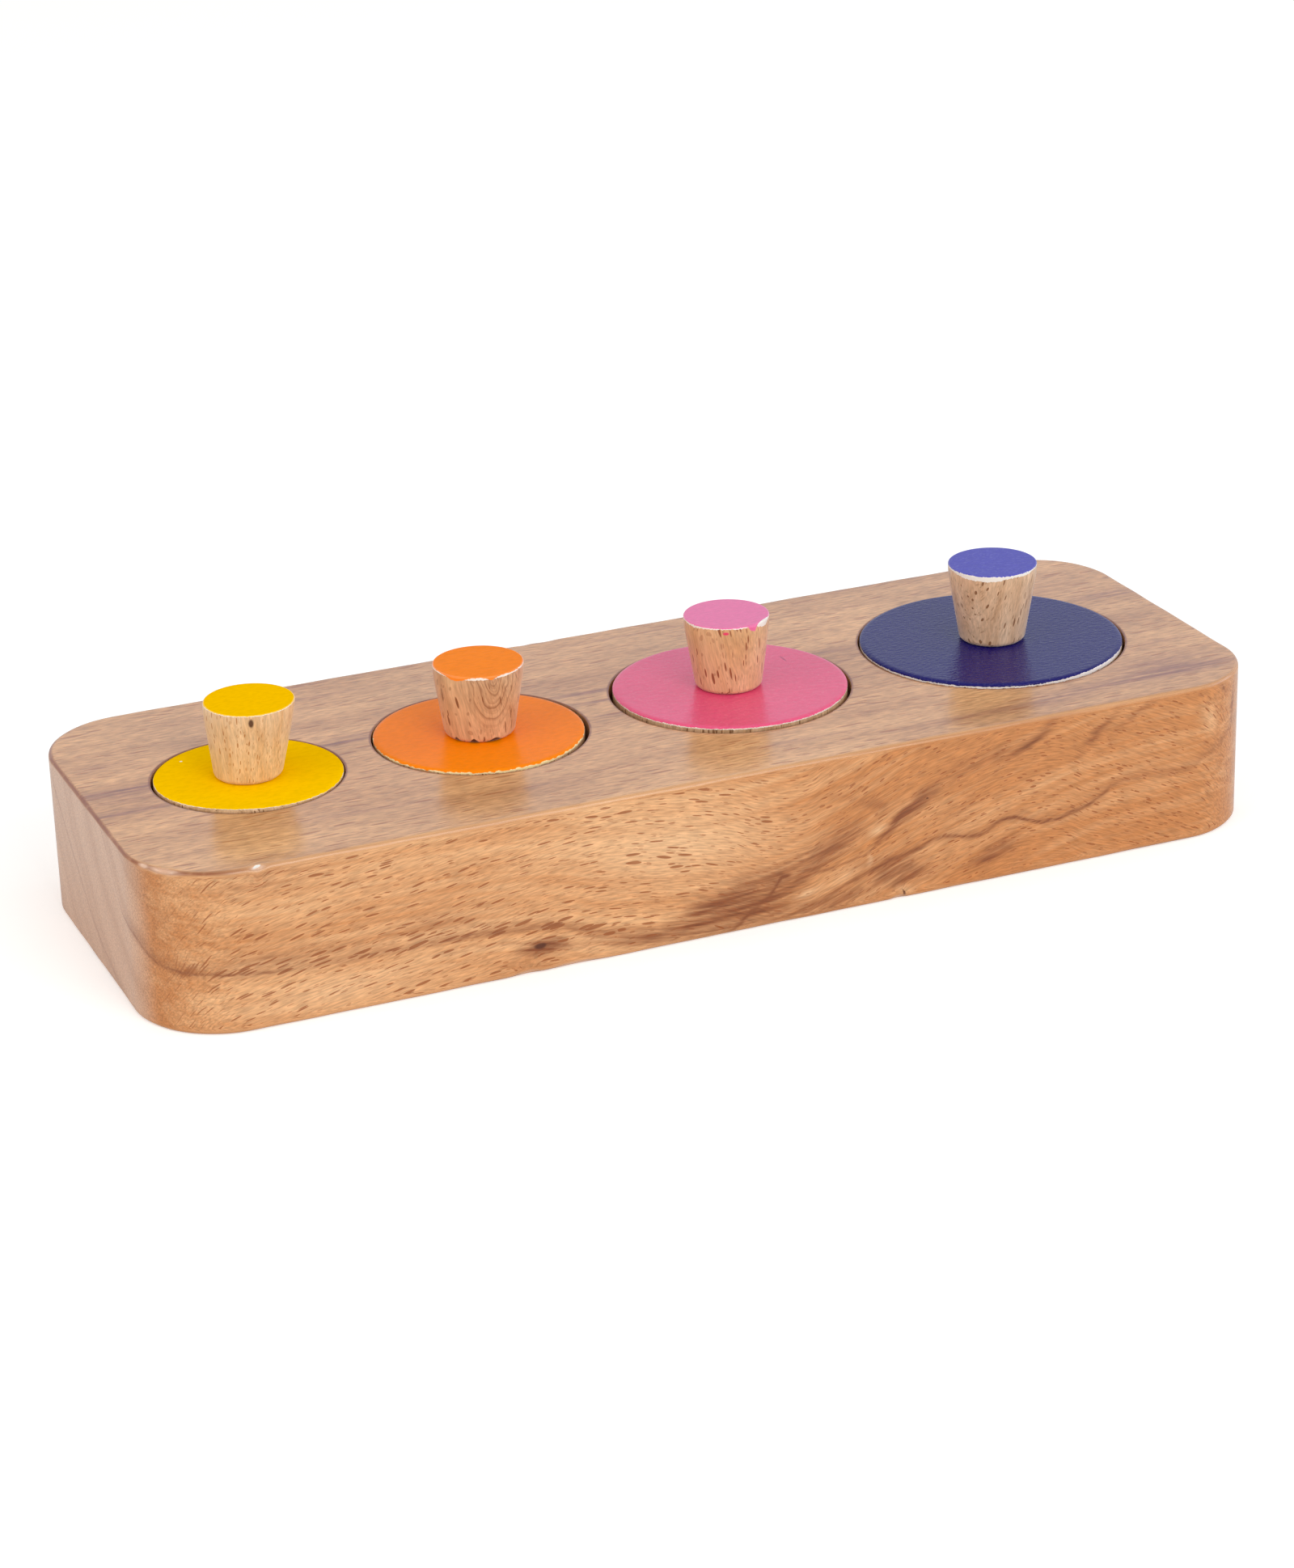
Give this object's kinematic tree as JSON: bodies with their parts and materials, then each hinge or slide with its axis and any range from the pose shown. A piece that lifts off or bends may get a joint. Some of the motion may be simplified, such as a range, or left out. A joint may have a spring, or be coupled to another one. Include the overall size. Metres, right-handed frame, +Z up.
{
  "type": "cylinder puzzle",
  "caption": "Toddler's sorting puzzle: a rounded beech block with a row of graded round sockets, each holding a knobbed cylinder that lifts straight out.",
  "frame": {"origin": "centre of the block's underside, which is the bottom centre of the whole object's box", "axes": "+Z up along the lift of the cylinders, +X along the row from the smallest cylinder to the largest, -Y the front face"},
  "size_m": [0.28, 0.1018, 0.0597],
  "materials": {
    "lacquered_beech_block": "sanded beech under clear lacquer, satin",
    "yellow_painted_beech": "turned beech, gloss yellow paint on the top face",
    "orange_painted_beech": "turned beech, gloss orange paint on the top face",
    "pink_painted_beech": "turned beech, gloss pink paint on the top face",
    "blue_painted_beech": "turned beech, gloss dark blue paint on the top face",
    "turned_beech_knob": "turned beech under clear lacquer, with its top face painted",
    "beech_dowel": "unfinished fluted beech dowel"
  },
  "bodies": {
    "block": {"puzzle_block": "lacquered_beech_block"},
    "yellow_piece": {"yellow_cylinder": "yellow_painted_beech", "yellow_knob": "turned_beech_knob", "yellow_dowel": "beech_dowel"},
    "orange_piece": {"orange_cylinder": "orange_painted_beech", "orange_knob": "turned_beech_knob", "orange_dowel": "beech_dowel"},
    "pink_piece": {"pink_cylinder": "pink_painted_beech", "pink_knob": "turned_beech_knob", "pink_dowel": "beech_dowel"},
    "blue_piece": {"blue_cylinder": "blue_painted_beech", "blue_knob": "turned_beech_knob", "blue_dowel": "beech_dowel"}
  },
  "joints": [
    {"name": "yellow_lift", "type": "slide", "parent": "block", "child": "yellow_piece", "axis": [0, 0, 1], "range_m": [0, 0.04]},
    {"name": "orange_lift", "type": "slide", "parent": "block", "child": "orange_piece", "axis": [0, 0, 1], "range_m": [0, 0.04]},
    {"name": "pink_lift", "type": "slide", "parent": "block", "child": "pink_piece", "axis": [0, 0, 1], "range_m": [0, 0.04]},
    {"name": "blue_lift", "type": "slide", "parent": "block", "child": "blue_piece", "axis": [0, 0, 1], "range_m": [0, 0.04]}
  ]
}
